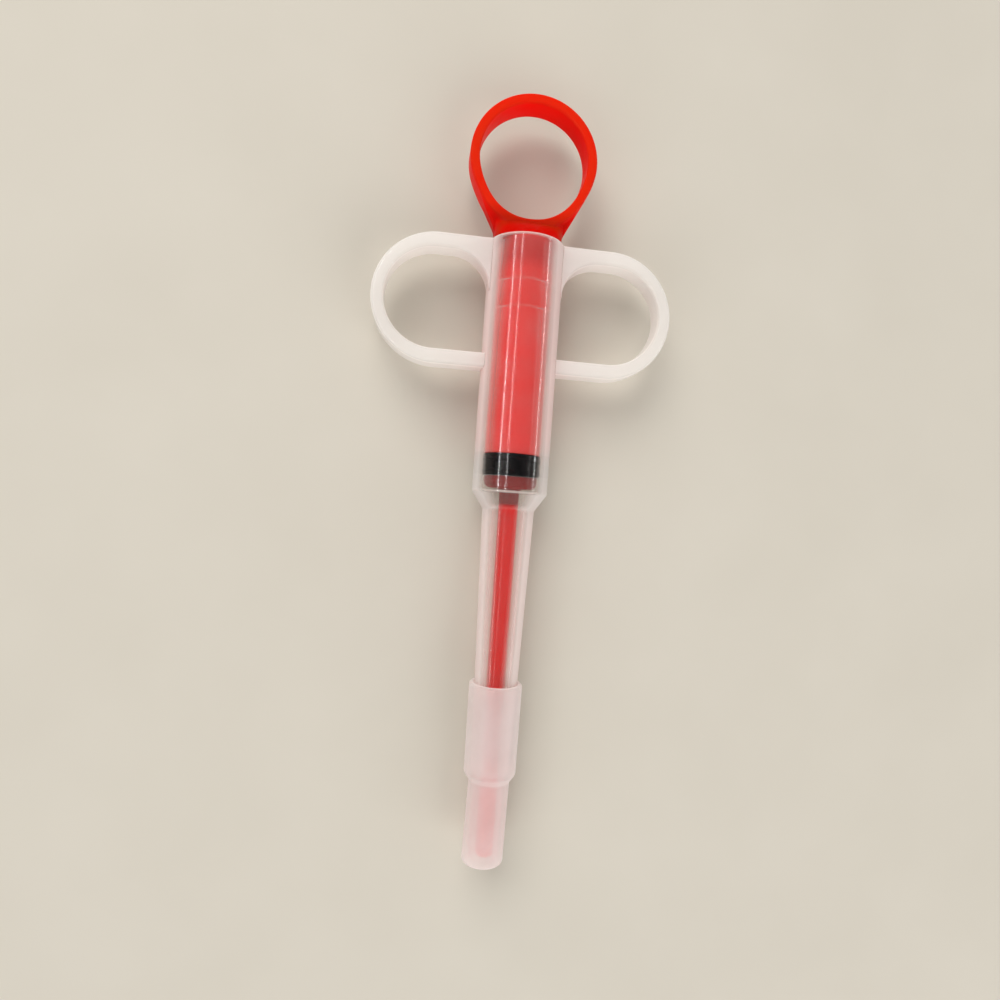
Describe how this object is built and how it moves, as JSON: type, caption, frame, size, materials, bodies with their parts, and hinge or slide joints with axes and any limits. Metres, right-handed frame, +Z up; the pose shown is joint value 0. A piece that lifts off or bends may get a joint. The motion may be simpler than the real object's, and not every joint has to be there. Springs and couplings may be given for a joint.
{
  "type": "oral syringe",
  "caption": "Translucent oral dosing syringe for pills and liquids: finger loops, red thumb-ring plunger with push rod, black seal and a pull-off soft silicone tip.",
  "frame": {"origin": "on the ground under the centre of the bounding box, with the syringe lying on its side", "axes": "+Y along the syringe towards the thumb ring, the soft tip at -Y, finger loops spread along X, +Z up"},
  "size_m": [0.0652, 0.166, 0.0164],
  "materials": {
    "translucent_plastic": "semi-gloss, milky translucent",
    "red_plastic": "satin",
    "black_rubber": "satin",
    "milky_silicone": "frosted translucent"
  },
  "bodies": {
    "barrel": {"barrel": "translucent_plastic"},
    "seal": {"piston_seal": "black_rubber"},
    "plunger": {"plunger": "red_plastic"},
    "soft_tip": {"soft_tip": "milky_silicone"}
  },
  "joints": [
    {"name": "plunger_slide", "type": "slide", "parent": "barrel", "child": "seal", "axis": [0, 1, 0], "range_m": [0, 0.03]},
    {"name": "plunger_spin", "type": "hinge", "parent": "seal", "child": "plunger", "pos_m": [0, 0, 0.0082], "axis": [0, 1, 0], "continuous": true},
    {"name": "tip_pull", "type": "slide", "parent": "barrel", "child": "soft_tip", "axis": [0, -1, 0], "range_m": [0, 0.024]}
  ]
}
